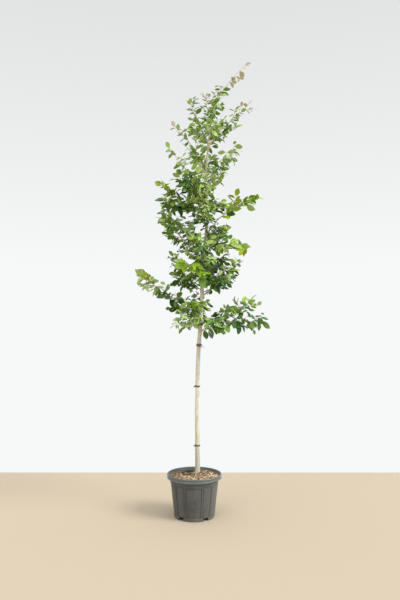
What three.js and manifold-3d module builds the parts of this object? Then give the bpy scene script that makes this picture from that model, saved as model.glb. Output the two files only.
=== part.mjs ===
// A young Persian ironwood, grown as a slim standard tree in a round nursery pot.
// Millimetres, Z up. The origin is the centre of the pot's flat underside.
// X runs to the viewer's right and Y runs away from the viewer.
import * as THREE from "three";
import { mergeVertices } from "three/addons/utils/BufferGeometryUtils.js";
import Module from "manifold-3d";

const wasm = await Module();
wasm.setup();

// Gap between pieces that touch
const clearance = 0.3;

// The pot: a round wall that widens to a rolled rim, with sunk panels and slots at its foot. Inside, the wall
// steps out over a ledge to the rim's thin lip.
const potHeight = 353;
const rimRadius = 225;
const rimDepth = 42;
const rimRoll = 8;
const footRadius = 166;
const footBevel = 5;
const shoulderRadius = 200;
const potWall = 6;
const rimLip = 12.5;
const lipLean = 0.5;
const ledgeRise = 11;
const neckDrop = 3;
const potFloor = 8;
const potFacets = 36;
const panelSets = 5;
const panelTurn = -2.3;
const widePanelAngle = 41;
const narrowPanelAngle = 25;
const panelDepth = 3;
const panelFoot = 26;
const widePanelTop = 273;
const narrowPanelTop = 280;
const drainWidth = 40;
const drainHeight = 16;

// The bark compost in the pot
const compostEdgeDrop = 28;
const compostRise = 10;
const compostFlatRadius = 95;
const compostTop = potHeight - compostEdgeDrop + compostRise;

// The trunk, with its root flare
const trunkFacets = 10;
const trunkRings = 28;
const trunkSteps = 360;
const flareWidth = 6;
const flareHeight = 42;
const buttressCount = 5;
const buttressDepth = 2.5;
const trunkFoot = compostTop + clearance;
const trunkTop = 3240;

// The stem's centre line: sideways and depth lean at each height, with its radius there
const trunkRoute = [
  { height: 240, x: 25, y: 42, radius: 19.5 },
  { height: 420, x: 26, y: 41, radius: 18.8 },
  { height: 955, x: 24, y: 38, radius: 18 },
  { height: 1367, x: 35, y: 30, radius: 16.8 },
  { height: 1614, x: 55, y: 22, radius: 15.4 },
  { height: 1853, x: 64, y: 12, radius: 13.8 },
  { height: 2026, x: 65, y: 8, radius: 12.6 },
  { height: 2191, x: 80, y: 4, radius: 11.6 },
  { height: 2438, x: 106, y: 0, radius: 10.4 },
  { height: 2685, x: 99, y: -4, radius: 9.4 },
  { height: 2850, x: 97, y: -6, radius: 8.6 },
  { height: 3015, x: 112, y: -6, radius: 7.2 },
  { height: trunkTop, x: 132, y: -4, radius: 4.6 },
];

// The bands round the young stem, from the lowest up, with the turn about the stem of each loose end
const bands = [
  { name: "band_low", height: 573, wraps: 1, endTurns: [200] },
  { name: "band_middle", height: 1065, wraps: 1, endTurns: [345, 195] },
  { name: "band_high", height: 1406, wraps: 2, endTurns: [335, 300] },
];
const bandTube = 3.6;
const bandFacets = 10;
const bandSides = 4;
const bandPitch = 11;
const bandEnd = 30;

// A leaf, larger than life because each stands for two or three: its widest place is a share of its
// length, and its two halves fold up from the midrib
const leafLength = 126;
const leafWidth = 90;
const leafWidest = 0.6;
const leafThickness = 2.4;
const leafFold = 8;
const rootThickness = 1.4;

// How leaves are set along a stem. One that doesn't fit is turned and made a little smaller each time
// it is tried again. The last leaves of a stem are smaller by endSize, and they stand past the bough's
// tip by tipRoom.
const leafSpacing = 74;
const leafTries = 16;
const leafShrink = 0.955;
const endSize = 0.75;
const endRootDepth = 2;
const tipRoom = 30;
const leafSwing = { least: 1, most: 1.6 };
const leafDroop = 0.55;
const leafLift = 0.1;
const leafRoll = 1.7;
const rankRoll = 0.9;
const bladeRows = 7;
const bladeAcross = 5;

// Three-sided twigs, and the stems that they branch from
const stemRadius = 4;
const stemRing = 135;
const twigRadius = 2.9;
const tipRadius = 2.6;
const twigSides = 3;
const twigSpacing = 89;
const twigLength = 100;
const twigTries = 4;
const twigLean = 0.7;
const twigFrom = 0.1;
const twigTo = 0.85;
const twigBare = 0.3;
const stemBare = 0.06;
const forkShare = 0.1;
const firstSeed = 101;
const seedStep = 37;

// Least distances between a mass's own leaves and twigs, and from them to limbs and other masses
const bladeApart = 10;
const stickApart = 7;
const limbMargin = 6;
const cellMargin = 2.5;
const cellSteps = 24;

// The bare limb of a bough, stouter on a longer one
const boughSides = 5;
const boughRings = 4;
const boughSlim = 4.5;
const boughStout = 8.5;
const boughLong = 700;
const stemEndRadius = 4.4;

// Boughs from the lowest to the highest. Each rises from the trunk at a height, leaves it at the launch
// angle above level, and is bare for a share of its length. Each tip gives a turn about the trunk
// (0 to the right, 90 away from the viewer), how far out it reaches and how far it rises.
// The first tip is the bough's own; any others are forks. A bough that is bare from 0 is a mass of
// leaves that starts on the trunk. Size scales its leaves and spread is the room it fills.
const boughs = [
  {
    name: "low_right", height: 1515, launch: 30, bare: 0.2, spread: 150, size: 1.1,
    tips: [{ turn: -12, reach: 565, rise: 70 }, { turn: 10, reach: 490, rise: 290 }],
  },
  {
    name: "low_left", height: 1573, launch: 18, bare: 0, spread: 150, size: 1.1,
    tips: [{ turn: 205, reach: 240, rise: 60 }],
  },
  {
    name: "low_front", height: 1622, launch: 15, bare: 0, spread: 135, size: 1.05,
    tips: [{ turn: -52, reach: 235, rise: -30 }],
  },
  {
    name: "low_back", height: 1600, launch: 32, bare: 0.25, spread: 160, size: 1,
    tips: [{ turn: 95, reach: 430, rise: 270 }],
  },
  {
    name: "long_left", height: 1650, launch: 30, bare: 0.12, spread: 120, size: 1,
    tips: [{ turn: 172, reach: 555, rise: 395 }],
  },
  {
    name: "low_bright", height: 1700, launch: 35, bare: 0, spread: 115, size: 1,
    tips: [{ turn: 228, reach: 175, rise: 90 }],
  },
  {
    name: "mid_right", height: 1812, launch: 36, bare: 0.15, spread: 150, size: 1,
    tips: [{ turn: -10, reach: 325, rise: 295 }, { turn: 20, reach: 300, rise: 190 }],
  },
  {
    name: "mid_left", height: 1858, launch: 25, bare: 0, spread: 130, size: 0.95,
    tips: [
      { turn: 178, reach: 250, rise: 95 },
      { turn: 192, reach: 245, rise: 160 },
      { turn: 180, reach: 255, rise: 335 },
    ],
  },
  {
    name: "mid_back", height: 1905, launch: 42, bare: 0.22, spread: 160, size: 1,
    tips: [{ turn: 78, reach: 390, rise: 280 }, { turn: 40, reach: 260, rise: 300 }],
  },
  {
    name: "mid_bright", height: 1945, launch: 42, bare: 0.18, spread: 150, size: 1.1,
    tips: [{ turn: 236, reach: 310, rise: 150 }],
  },
  {
    name: "mid_front", height: 2000, launch: 45, bare: 0.22, spread: 155, size: 1,
    tips: [{ turn: 266, reach: 320, rise: 230 }, { turn: 245, reach: 180, rise: 400 }],
  },
  {
    name: "arched_right", height: 2100, launch: 72, bare: 0.2, spread: 115, size: 1.1,
    tips: [{ turn: -18, reach: 385, rise: 105 }],
  },
  {
    name: "curved_left", height: 2105, launch: 48, bare: 0.25, spread: 100, size: 1,
    tips: [{ turn: 186, reach: 350, rise: 355 }, { turn: 168, reach: 365, rise: 455 }],
  },
  {
    name: "back_left", height: 2150, launch: 50, bare: 0.25, spread: 155, size: 1,
    tips: [{ turn: 134, reach: 385, rise: 410 }],
  },
  {
    name: "back_right", height: 2225, launch: 46, bare: 0.25, spread: 130, size: 1,
    tips: [{ turn: 62, reach: 335, rise: 230 }],
  },
  {
    name: "short_right", height: 2265, launch: 35, bare: 0, spread: 130, size: 1,
    tips: [{ turn: 20, reach: 225, rise: 110 }],
  },
  {
    name: "upper_right", height: 2310, launch: 58, bare: 0.3, spread: 140, size: 0.95,
    tips: [{ turn: 6, reach: 455, rise: 350 }],
  },
  {
    name: "front_right", height: 2340, launch: 50, bare: 0, spread: 95, size: 0.95,
    tips: [{ turn: 275, reach: 260, rise: 230 }],
  },
  {
    name: "bright_left", height: 2380, launch: 50, bare: 0.22, spread: 130, size: 1,
    tips: [{ turn: 194, reach: 435, rise: 345 }, { turn: 168, reach: 415, rise: 220 }],
  },
  {
    name: "upper_front", height: 2455, launch: 52, bare: 0, spread: 140, size: 0.95,
    tips: [{ turn: 244, reach: 300, rise: 280 }],
  },
  {
    name: "upper_back", height: 2480, launch: 52, bare: 0, spread: 135, size: 0.95,
    tips: [{ turn: 105, reach: 310, rise: 320 }],
  },
  {
    name: "sprig_right", height: 2521, launch: 20, bare: 0, spread: 80, size: 0.85,
    tips: [{ turn: -25, reach: 220, rise: 45 }],
  },
  {
    name: "upper_left", height: 2565, launch: 46, bare: 0, spread: 125, size: 0.95,
    tips: [{ turn: 202, reach: 290, rise: 230 }],
  },
  {
    name: "high_bend", height: 2660, launch: 45, bare: 0, spread: 95, size: 0.9,
    tips: [{ turn: -42, reach: 175, rise: 170 }],
  },
  {
    name: "high_right", height: 2780, launch: 60, bare: 0.12, spread: 110, size: 0.9,
    tips: [{ turn: 5, reach: 300, rise: 245 }],
  },
  {
    name: "high_left", height: 2650, launch: 48, bare: 0.2, spread: 115, size: 0.9,
    tips: [{ turn: 188, reach: 335, rise: 410 }],
  },
  {
    name: "high_front", height: 2725, launch: 56, bare: 0, spread: 115, size: 0.9,
    tips: [{ turn: 238, reach: 205, rise: 340 }],
  },
  {
    name: "high_back", height: 2730, launch: 56, bare: 0, spread: 100, size: 0.9,
    tips: [{ turn: 82, reach: 230, rise: 300 }],
  },
  {
    name: "top_left_arm", height: 2790, launch: 74, bare: 0.3, spread: 100, size: 0.8,
    tips: [{ turn: 172, reach: 290, rise: 460 }],
  },
  {
    name: "top_right_arm", height: 3040, launch: 55, bare: 0.2, spread: 105, size: 0.85,
    tips: [{ turn: -8, reach: 366, rise: 345 }],
  },
  {
    name: "top_front", height: 2950, launch: 66, bare: 0, spread: 110, size: 0.85,
    tips: [{ turn: 282, reach: 145, rise: 270 }],
  },
  {
    name: "top_left", height: 3050, launch: 70, bare: 0, spread: 100, size: 0.8,
    tips: [{ turn: 186, reach: 180, rise: 395 }, { turn: 195, reach: 170, rise: 130 }],
  },
  {
    name: "top_back", height: 3020, launch: 66, bare: 0, spread: 90, size: 0.85,
    tips: [{ turn: 70, reach: 165, rise: 290 }],
  },
  {
    name: "top_middle", height: 3160, launch: 84, bare: 0, spread: 90, size: 0.75,
    tips: [{ turn: 170, reach: 30, rise: 335 }],
  },
];

// The leading shoot goes on from the trunk's tip and bends over to the right
const leaderRoute = [
  { height: 3300, x: 144, y: -2 },
  { height: 3402, x: 184, y: 2 },
  { height: 3493, x: 226, y: 6 },
  { height: 3580, x: 292, y: 8 },
  { height: 3648, x: 352, y: 6 },
  { height: 3706, x: 414, y: 0 },
];
const leaderSpread = 85;
const leaderLeafSize = 0.68;
const leaderSeed = 7;

// Colours of the bark, leaves, pot, compost and bands
const barkColour = 0xb5a084;
const leafColour = 0x5d8a3a;
const potColour = 0x4b4d4e;
const compostColour = 0x6d4b33;
const bandColour = 0x2f3028;

const up = new THREE.Vector3(0, 0, 1);
const radians = THREE.MathUtils.degToRad;
const lerp = THREE.MathUtils.lerp;

const finish = (color, roughness) => new THREE.MeshStandardMaterial({ color, roughness, metalness: 0 });
const bark = finish(barkColour, 0.85);
const leaf = finish(leafColour, 0.5);
const potPlastic = finish(potColour, 0.6);
const compost = finish(compostColour, 0.95);
const bandRubber = finish(bandColour, 0.7);

// A repeatable stream of numbers from 0 to 1 for one seed
function seeded(seed) {
  let state = seed >>> 0;
  return () => {
    state = (state + 0x6d2b79f5) >>> 0;
    let mixed = Math.imul(state ^ (state >>> 15), 1 | state);
    mixed = (mixed + Math.imul(mixed ^ (mixed >>> 7), 61 | mixed)) ^ mixed;
    return ((mixed ^ (mixed >>> 14)) >>> 0) / 4294967296;
  };
}

// A closed three.js geometry as a solid that can be joined and cut
function solidOf(geometry) {
  const bare = geometry.clone();
  bare.deleteAttribute("normal");
  bare.deleteAttribute("uv");
  const merged = mergeVertices(bare, 1e-4);
  const mesh = new wasm.Mesh({
    numProp: 3,
    vertProperties: merged.attributes.position.array,
    triVerts: new Uint32Array(merged.index.array),
  });
  return new wasm.Manifold(mesh);
}

// A solid as a named mesh
function named(name, solid, material) {
  const mesh = solid.getMesh();
  const geometry = new THREE.BufferGeometry();
  geometry.setAttribute("position", new THREE.BufferAttribute(new Float32Array(mesh.vertProperties), 3));
  geometry.setIndex(new THREE.BufferAttribute(new Uint32Array(mesh.triVerts), 1));
  geometry.computeVertexNormals();
  const node = new THREE.Mesh(geometry, material);
  node.name = name;
  return node;
}

function join(solids) {
  return solids.reduce((whole, piece) => whole.add(piece));
}

// The largest body of a solid, so that no loose scrap stays beside it
function mainBody(solid) {
  return solid.decompose().reduce((best, body) => (body.volume() > best.volume() ? body : best));
}

// A profile of radius and height turned about Z
function turned(profile, facets) {
  const points = profile.map(([radius, height]) => new THREE.Vector2(radius, height));
  return solidOf(new THREE.LatheGeometry(points, facets).rotateX(Math.PI / 2));
}

// A closed cylinder bent along a curve, with its radius given at each share of the length and turn
function limbSolid(curve, radiusAt, sides, rings) {
  const geometry = new THREE.CylinderGeometry(1, 1, 1, sides, rings);
  const frames = curve.computeFrenetFrames(rings, false);
  const places = geometry.attributes.position;
  for (let i = 0; i < places.count; i += 1) {
    const ring = Math.round((places.getY(i) + 0.5) * rings);
    const across = new THREE.Vector3()
      .addScaledVector(frames.normals[ring], places.getZ(i))
      .addScaledVector(frames.binormals[ring], places.getX(i));
    const radius = radiusAt(ring / rings, Math.atan2(across.y, across.x));
    const place = curve.getPointAt(ring / rings).addScaledVector(across, radius);
    places.setXYZ(i, place.x, place.y, place.z);
  }
  return solidOf(geometry);
}

const trunkCurve = new THREE.CatmullRomCurve3(trunkRoute.map((p) => new THREE.Vector3(p.x, p.y, p.height)));
const trunkLine = trunkCurve.getPoints(trunkSteps);

// Radius of the trunk at a height, without its root flare
function trunkRadius(height) {
  const above = Math.max(1, trunkRoute.findIndex((p) => p.height >= height));
  const [low, high] = [trunkRoute[above - 1], trunkRoute[above]];
  return lerp(low.radius, high.radius, (height - low.height) / (high.height - low.height));
}

// The trunk's centre at a height
function trunkCentre(height) {
  const above = trunkLine.findIndex((point) => point.z >= height);
  const [low, high] = [trunkLine[above - 1], trunkLine[above]];
  return low.clone().lerp(high, (height - low.z) / (high.z - low.z));
}

// The trunk with its root flare, grown all round by an allowance
function trunkSolid(allowance) {
  const flare = (height, turn) => {
    const near = Math.exp(-Math.max(0, height - trunkFoot) / flareHeight);
    return near * (flareWidth + buttressDepth * Math.cos(buttressCount * turn));
  };
  const radiusAt = (share, turn) => {
    const height = Math.min(trunkCurve.getPointAt(share).z, trunkTop);
    return trunkRadius(height) + flare(height, turn) + allowance;
  };
  return limbSolid(trunkCurve, radiusAt, trunkFacets, trunkRings);
}

const trunkSpace = trunkSolid(clearance);

// The trunk from its flat cut at the compost to its tip
function makeTrunk() {
  const below = new THREE.BoxGeometry(rimRadius, rimRadius, trunkFoot);
  return trunkSolid(0).subtract(solidOf(below.translate(0, 0, trunkFoot / 2)));
}

// Radius of the pot's outer wall at a height
function potWallAt(height) {
  return footRadius + ((shoulderRadius - footRadius) * height) / (potHeight - rimDepth);
}

function potShell() {
  const rimFoot = potHeight - rimDepth;
  const innerRim = rimRadius - rimLip;
  return turned(
    [
      [0, 0],
      [footRadius - footBevel, 0],
      [footRadius, footBevel],
      [shoulderRadius, rimFoot],
      [rimRadius - rimRoll, rimFoot],
      [rimRadius - 1, rimFoot + rimRoll],
      [rimRadius, rimFoot + rimDepth / 2],
      [rimRadius - rimRoll / 2, potHeight - rimRoll],
      [rimRadius - rimRoll, potHeight],
      [innerRim, potHeight - 1],
      [innerRim - lipLean, rimFoot + ledgeRise],
      [shoulderRadius + 1, rimFoot + ledgeRise / 2],
      [shoulderRadius - potWall, rimFoot - neckDrop],
      [footRadius - potWall, potFloor],
      [0, potFloor],
    ],
    potFacets,
  );
}

// An upright wedge with its edge on the pot's axis, turned from the front towards the right
function wedge(turnDegrees, widthDegrees) {
  const far = 2 * rimRadius;
  const half = radians(widthDegrees / 2);
  const shape = new THREE.Shape();
  shape.moveTo(0, 0);
  shape.lineTo(-far * Math.sin(half), -far * Math.cos(half));
  shape.lineTo(far * Math.sin(half), -far * Math.cos(half));
  const prism = new THREE.ExtrudeGeometry(shape, { depth: potHeight, bevelEnabled: false });
  return solidOf(prism.rotateZ(radians(turnDegrees)));
}

// A band all round the pot's wall from the panels' foot to a height, as deep as a panel
function panelRing(top) {
  return turned(
    [
      [potWallAt(panelFoot) - panelDepth, panelFoot],
      [rimRadius, panelFoot],
      [rimRadius, top],
      [potWallAt(top) - panelDepth, top],
      [potWallAt(panelFoot) - panelDepth, panelFoot],
    ],
    potFacets,
  );
}

// The pot: a round wall with sunk panels, a rolled rim and drain slots round its foot
function makePot() {
  const pitch = 360 / panelSets;
  const wideRing = panelRing(widePanelTop);
  const narrowRing = panelRing(narrowPanelTop);
  let pot = potShell();
  for (let i = 0; i < panelSets; i += 1) {
    const turn = panelTurn + i * pitch;
    const slot = new THREE.BoxGeometry(drainWidth, 10 * potWall, 2 * drainHeight);
    slot.translate(0, -footRadius, 0).rotateZ(radians(turn + pitch / 2));
    pot = pot
      .subtract(wideRing.intersect(wedge(turn, widePanelAngle)))
      .subtract(narrowRing.intersect(wedge(turn + pitch / 2, narrowPanelAngle)))
      .subtract(solidOf(slot));
  }
  return mainBody(pot);
}

// The bark compost that fills the pot, level round the stem and lower at the wall
function makeCompost() {
  const bottom = potFloor + clearance;
  const edge = potHeight - compostEdgeDrop;
  const gap = 2 * clearance;
  const neck = potHeight - rimDepth - neckDrop;
  const ledge = potHeight - rimDepth + ledgeRise;
  const innerAt = (height) => potWallAt(height) - potWall - gap;
  const edgeRadius = rimRadius - rimLip - lipLean - gap;
  const profile = [
    [0, bottom],
    [innerAt(0), bottom],
    [innerAt(neck), neck + gap],
    [shoulderRadius + 1 - gap, ledge - ledgeRise / 2 + gap],
    [edgeRadius, ledge + gap],
    [edgeRadius, edge],
    [(edgeRadius + compostFlatRadius) / 2, edge + compostRise * 0.7],
    [compostFlatRadius, compostTop],
    [0, compostTop],
  ];
  return turned(profile, potFacets);
}

// One band round the stem: its wraps, with a knot and a loose end at each turn given
function makeBand({ height, wraps, endTurns }) {
  const centre = trunkCentre(height);
  const inner = (trunkRadius(height - bandPitch) + 3 * clearance) / Math.cos(Math.PI / bandFacets);
  const pieces = [];
  for (let i = 0; i < wraps; i += 1) {
    const middle = trunkCentre(height + (i - (wraps - 1) / 2) * bandPitch);
    const ring = new THREE.TorusGeometry(inner + bandTube, bandTube, bandSides, bandFacets);
    pieces.push(solidOf(ring.translate(middle.x, middle.y, middle.z)));
  }
  endTurns.forEach((turn) => {
    const out = new THREE.Vector3(Math.cos(radians(turn)), Math.sin(radians(turn)), 0);
    const start = centre.clone().addScaledVector(out, inner + bandTube);
    const knot = new THREE.BoxGeometry(1.8 * bandTube, 1.8 * bandTube, bandPitch + bandTube);
    pieces.push(solidOf(knot.translate(start.x, start.y, height)));
    const knee = start.clone().addScaledVector(out, bandEnd * 0.4);
    const end = start.clone().addScaledVector(out, bandEnd * 0.75).addScaledVector(up, -bandEnd * 0.7);
    const loose = new THREE.QuadraticBezierCurve3(start, knee, end);
    pieces.push(limbSolid(loose, (share) => bandTube * lerp(0.9, 0.55, share), bandSides, 3));
  });
  return mainBody(join(pieces));
}

// The curve of a bough from the trunk's centre line to one of its tips
function boughCurve(from, launch, { turn, reach, rise }) {
  const side = new THREE.Vector3(Math.cos(radians(turn)), Math.sin(radians(turn)), 0);
  const tip = from.clone().addScaledVector(side, reach).addScaledVector(up, rise);
  const heading = side.multiplyScalar(Math.cos(radians(launch)));
  heading.addScaledVector(up, Math.sin(radians(launch)));
  const knee = from.clone().addScaledVector(heading, from.distanceTo(tip) * 0.5);
  return new THREE.QuadraticBezierCurve3(from, knee, tip);
}

// The stretch of a bough's curve between two shares of it, which is such a curve too
function stretch({ v0, v1, v2 }, from, to) {
  const place = (first, second) => {
    const [low, high] = [v0.clone().lerp(v1, first), v1.clone().lerp(v2, first)];
    return low.lerp(high, second);
  };
  return new THREE.QuadraticBezierCurve3(place(from, from), place(from, to), place(to, to));
}

// A fork that leaves a stem near its start and curves out to a tip of its own
function forkCurve(stem, tip) {
  const start = stem.getPointAt(forkShare);
  const knee = start.clone().addScaledVector(stem.getTangentAt(forkShare), start.distanceTo(tip) * 0.35);
  return new THREE.QuadraticBezierCurve3(start, knee, tip);
}

// Where a bough's limb runs, if it has one, and the stems of its mass of leaves
function layOut(bough, index) {
  const from = trunkCentre(bough.height);
  const main = boughCurve(from, bough.launch, bough.tips[0]);
  const lastLeaf = leafLength * bough.size * endSize;
  const stemEnd = (curve) => 1 - (lastLeaf - tipRoom) / curve.getLength();
  const limb = bough.bare > 0 ? stretch(main, 0, bough.bare) : null;
  const stem = stretch(main, limb ? bough.bare + clearance / main.getLength() : 0, stemEnd(main));
  const forks = bough.tips.slice(1).map((tip) => {
    const route = boughCurve(from, bough.launch, tip);
    return forkCurve(stem, route.getPoint(stemEnd(route)));
  });
  const thick = lerp(boughSlim, boughStout, Math.min(1, main.getLength() / boughLong));
  return { ...bough, seed: firstSeed + index * seedStep, limb, thick, stems: [stem, ...forks] };
}

const crown = boughs.map(layOut);
const leaderStart = trunkCurve.getPoint(1).addScaledVector(trunkCurve.getTangent(1), clearance);
const leaderPoints = leaderRoute.map((p) => new THREE.Vector3(p.x, p.y, p.height));
crown.push({
  name: "leader",
  seed: leaderSeed,
  limb: null,
  spread: leaderSpread,
  size: leaderLeafSize,
  stems: [new THREE.CatmullRomCurve3([leaderStart, ...leaderPoints])],
});

// Points along every mass's stems, which share out the space between the masses
const cells = crown.map((mass) => mass.stems.flatMap((stem) => stem.getSpacedPoints(cellSteps)));

// Balls along the trunk and the bare limbs, which leaves and twigs keep clear of
const obstacles = trunkLine.map((centre) => {
  return { centre, radius: trunkRadius(Math.min(centre.z, trunkTop)) };
});
crown.forEach((mass) => {
  if (!mass.limb) return;
  mass.limb.getSpacedPoints(cellSteps).forEach((centre) => obstacles.push({ centre, radius: mass.thick }));
});

function nearest(point, points) {
  return points.reduce((least, other) => Math.min(least, point.distanceTo(other)), Infinity);
}

// True if every point lies in a mass's own space and clear of the trunk and limbs
function fits(points, index) {
  return points.every((point) => {
    const own = nearest(point, cells[index]);
    if (own > crown[index].spread) return false;
    const apart = cells.every((cell, i) => i === index || nearest(point, cell) > own + 2 * cellMargin);
    return apart && obstacles.every((ball) => ball.centre.distanceTo(point) > ball.radius + limbMargin);
  });
}

// A leaf of eight faces: a folded kite, widest past its middle, with its root at the origin
function leafGeometry(length, width) {
  const geometry = new THREE.OctahedronGeometry(1, 0);
  const places = geometry.attributes.position;
  for (let i = 0; i < places.count; i += 1) {
    const [x, y, z] = [places.getX(i), places.getY(i), places.getZ(i)].map(Math.round);
    if (x > 0) places.setXYZ(i, length, 0, 0);
    if (x < 0) places.setXYZ(i, 0, 0, rootThickness / 2);
    if (y) places.setXYZ(i, length * leafWidest, (y * width) / 2, leafFold);
    if (z > 0) places.setXYZ(i, length * leafWidest, 0, leafThickness / 2);
    if (z < 0) places.setXYZ(i, 0, 0, -rootThickness / 2);
  }
  return geometry;
}

// Points spread over a leaf's blade in rows from near its root to its tip
function bladePoints(length, width, matrix) {
  const points = [];
  for (let row = 1; row <= bladeRows; row += 1) {
    const share = row / bladeRows;
    const half = share < leafWidest ? share / leafWidest : (1 - share) / (1 - leafWidest);
    for (let i = 0; i < bladeAcross; i += 1) {
      const out = half * ((2 * i) / (bladeAcross - 1) - 1);
      const point = new THREE.Vector3(share * length, (out * width) / 2, Math.abs(out) * leafFold);
      points.push(point.applyMatrix4(matrix));
    }
  }
  return points;
}

// A mass of leaves: its stems, and twigs that branch from them by a seeded rule, with leaves on both.
// A leaf or twig that doesn't fit is turned another way a few times, and then left out.
function makeMass(mass, index) {
  const random = seeded(mass.seed);
  const pieces = [];
  const sticks = [];
  const blades = [];

  const addStick = (curve, thick, rings) => {
    pieces.push(limbSolid(curve, (share) => lerp(thick, tipRadius, share), twigSides, rings));
    sticks.push(...curve.getSpacedPoints(Math.round(curve.getLength() / stickApart)));
  };

  const addLeaf = (root, heading, facing, scale) => {
    const [length, width] = [leafLength * scale, leafWidth * scale];
    const along = heading.normalize();
    const across = facing.cross(along).normalize();
    const matrix = new THREE.Matrix4().makeBasis(along, across, along.clone().cross(across));
    matrix.setPosition(root);
    const blade = bladePoints(length, width, matrix);
    if (blade.some((point) => nearest(point, blades) < bladeApart)) return false;
    if (blade.slice(bladeAcross).some((point) => nearest(point, sticks) < stickApart)) return false;
    if (!fits(blade, index)) return false;
    blades.push(...blade);
    pieces.push(solidOf(leafGeometry(length, width).applyMatrix4(matrix)));
    return true;
  };

  // Leaves in two ranks along a stem or twig, and one at its end, smaller towards the end
  const addLeaves = (curve, from) => {
    const count = Math.max(1, Math.round((curve.getLength() * (1 - from)) / (leafSpacing * mass.size)));
    for (let i = 0; i <= count; i += 1) {
      const last = i === count;
      const share = last ? 1 - endRootDepth / curve.getLength() : lerp(from, 1, (i + 0.3) / count);
      const tangent = curve.getTangentAt(share);
      const rank = tangent.clone().cross(up).normalize().multiplyScalar(i % 2 ? 1 : -1);
      let scale = mass.size * lerp(0.9, 1.1, random()) * lerp(1, endSize, share);
      for (let turn = 0; turn < leafTries; turn += 1) {
        const swing = last ? 0.1 * turn : lerp(leafSwing.least, leafSwing.most, random());
        const side = rank.clone().applyAxisAngle(tangent, lerp(-rankRoll, rankRoll, random()));
        const heading = tangent.clone().multiplyScalar(Math.cos(swing));
        heading.addScaledVector(side, Math.sin(swing));
        heading.addScaledVector(up, last ? 0 : lerp(leafLift, -leafDroop, random()));
        const facing = up.clone().addScaledVector(tangent, -0.3);
        facing.addScaledVector(side, lerp(-leafRoll, leafRoll, random()));
        if (addLeaf(curve.getPointAt(share), heading, facing, scale)) break;
        scale *= leafShrink;
      }
    }
  };

  // A twig from a stem, on the side given by a turn about the stem
  const addTwig = (stem, share, turn) => {
    const [place, tangent] = [stem.getPointAt(share), stem.getTangentAt(share)];
    const side = tangent.clone().cross(up).normalize().applyAxisAngle(tangent, turn);
    const reach = twigLength * mass.size * lerp(1, 0.6, share) * lerp(0.75, 1.1, random());
    const heading = side.addScaledVector(tangent, twigLean).normalize();
    const twig = new THREE.LineCurve3(place, place.clone().addScaledVector(heading, reach));
    const outer = twig.getPoints(6).slice(2);
    if (!fits(outer, index) || outer.some((point) => nearest(point, sticks) < 3 * stickApart)) return false;
    addStick(twig, twigRadius, 1);
    addLeaves(twig, twigBare);
    return true;
  };

  mass.stems.forEach((stem) => {
    const rings = Math.round(stem.getLength() / stemRing);
    addStick(stem, stemRadius, Math.max(2, rings));
  });
  mass.stems.forEach((stem) => {
    const count = Math.floor(stem.getLength() / twigSpacing);
    for (let i = 0; i < count; i += 1) {
      const share = lerp(twigFrom, twigTo, (i + 0.5 * random()) / count);
      for (let turn = 0; turn < twigTries; turn += 1) {
        if (addTwig(stem, share, lerp(-1, 1, random()) + ((i + turn) % 2 ? Math.PI : 0))) break;
      }
    }
  });
  mass.stems.forEach((stem) => addLeaves(stem, stemBare));
  return mainBody(join(pieces).subtract(trunkSpace));
}

// A bough's bare limb, one tapering stick that meets the trunk's bark and ends where its leaves begin
function makeBough({ limb, thick }) {
  const radiusAt = (share) => lerp(thick, stemEndRadius, share);
  return mainBody(limbSolid(limb, radiusAt, boughSides, boughRings).subtract(trunkSpace));
}

const tree = new THREE.Group();
tree.add(named("pot", makePot(), potPlastic));
tree.add(named("compost", makeCompost(), compost));
tree.add(named("trunk", makeTrunk(), bark));
bands.forEach((band) => tree.add(named(band.name, makeBand(band), bandRubber)));
crown.forEach((mass, index) => {
  if (mass.limb) tree.add(named(`bough_${mass.name}`, makeBough(mass), bark));
  tree.add(named(`foliage_${mass.name}`, makeMass(mass, index), leaf));
});

export default tree;
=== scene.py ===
import random
from math import atan2, cos, degrees, exp, hypot, pi, radians, sin, sqrt

import bpy
import numpy as np
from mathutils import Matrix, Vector, noise
from numpy.linalg import norm


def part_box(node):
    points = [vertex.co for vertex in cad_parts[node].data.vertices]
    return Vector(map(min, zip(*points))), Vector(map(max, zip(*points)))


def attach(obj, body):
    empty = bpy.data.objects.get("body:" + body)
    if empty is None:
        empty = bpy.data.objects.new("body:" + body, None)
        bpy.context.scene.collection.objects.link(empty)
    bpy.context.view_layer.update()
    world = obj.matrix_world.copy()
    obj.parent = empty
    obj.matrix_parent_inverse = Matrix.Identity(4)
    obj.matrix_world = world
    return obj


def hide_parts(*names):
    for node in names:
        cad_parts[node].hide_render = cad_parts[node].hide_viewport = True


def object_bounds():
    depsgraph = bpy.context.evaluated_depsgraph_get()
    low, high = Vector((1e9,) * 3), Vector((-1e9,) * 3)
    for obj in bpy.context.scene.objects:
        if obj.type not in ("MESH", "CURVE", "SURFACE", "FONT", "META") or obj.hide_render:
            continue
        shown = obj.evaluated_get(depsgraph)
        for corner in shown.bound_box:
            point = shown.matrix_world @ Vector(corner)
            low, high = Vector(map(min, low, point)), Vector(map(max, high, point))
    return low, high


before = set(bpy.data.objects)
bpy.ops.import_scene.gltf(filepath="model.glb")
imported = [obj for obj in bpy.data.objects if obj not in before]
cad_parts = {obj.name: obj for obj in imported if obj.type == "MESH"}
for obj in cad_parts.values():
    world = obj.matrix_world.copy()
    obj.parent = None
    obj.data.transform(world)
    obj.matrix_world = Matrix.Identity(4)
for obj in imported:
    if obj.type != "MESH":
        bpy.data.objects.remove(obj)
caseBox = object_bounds()
print("frame loaded")

scene = bpy.context.scene
up = np.array([0.0, 0.0, 1.0])


def lerp(low, high, share):
    return low + (high - low) * share


def unit(vector):
    return vector / norm(vector)


def sideAt(angle):
    # The level direction at an angle, in degrees from the right
    return np.array([cos(radians(angle)), sin(radians(angle)), 0])


def assign(thing, **settings):
    for name, value in settings.items():
        setattr(thing, name, value)


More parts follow.
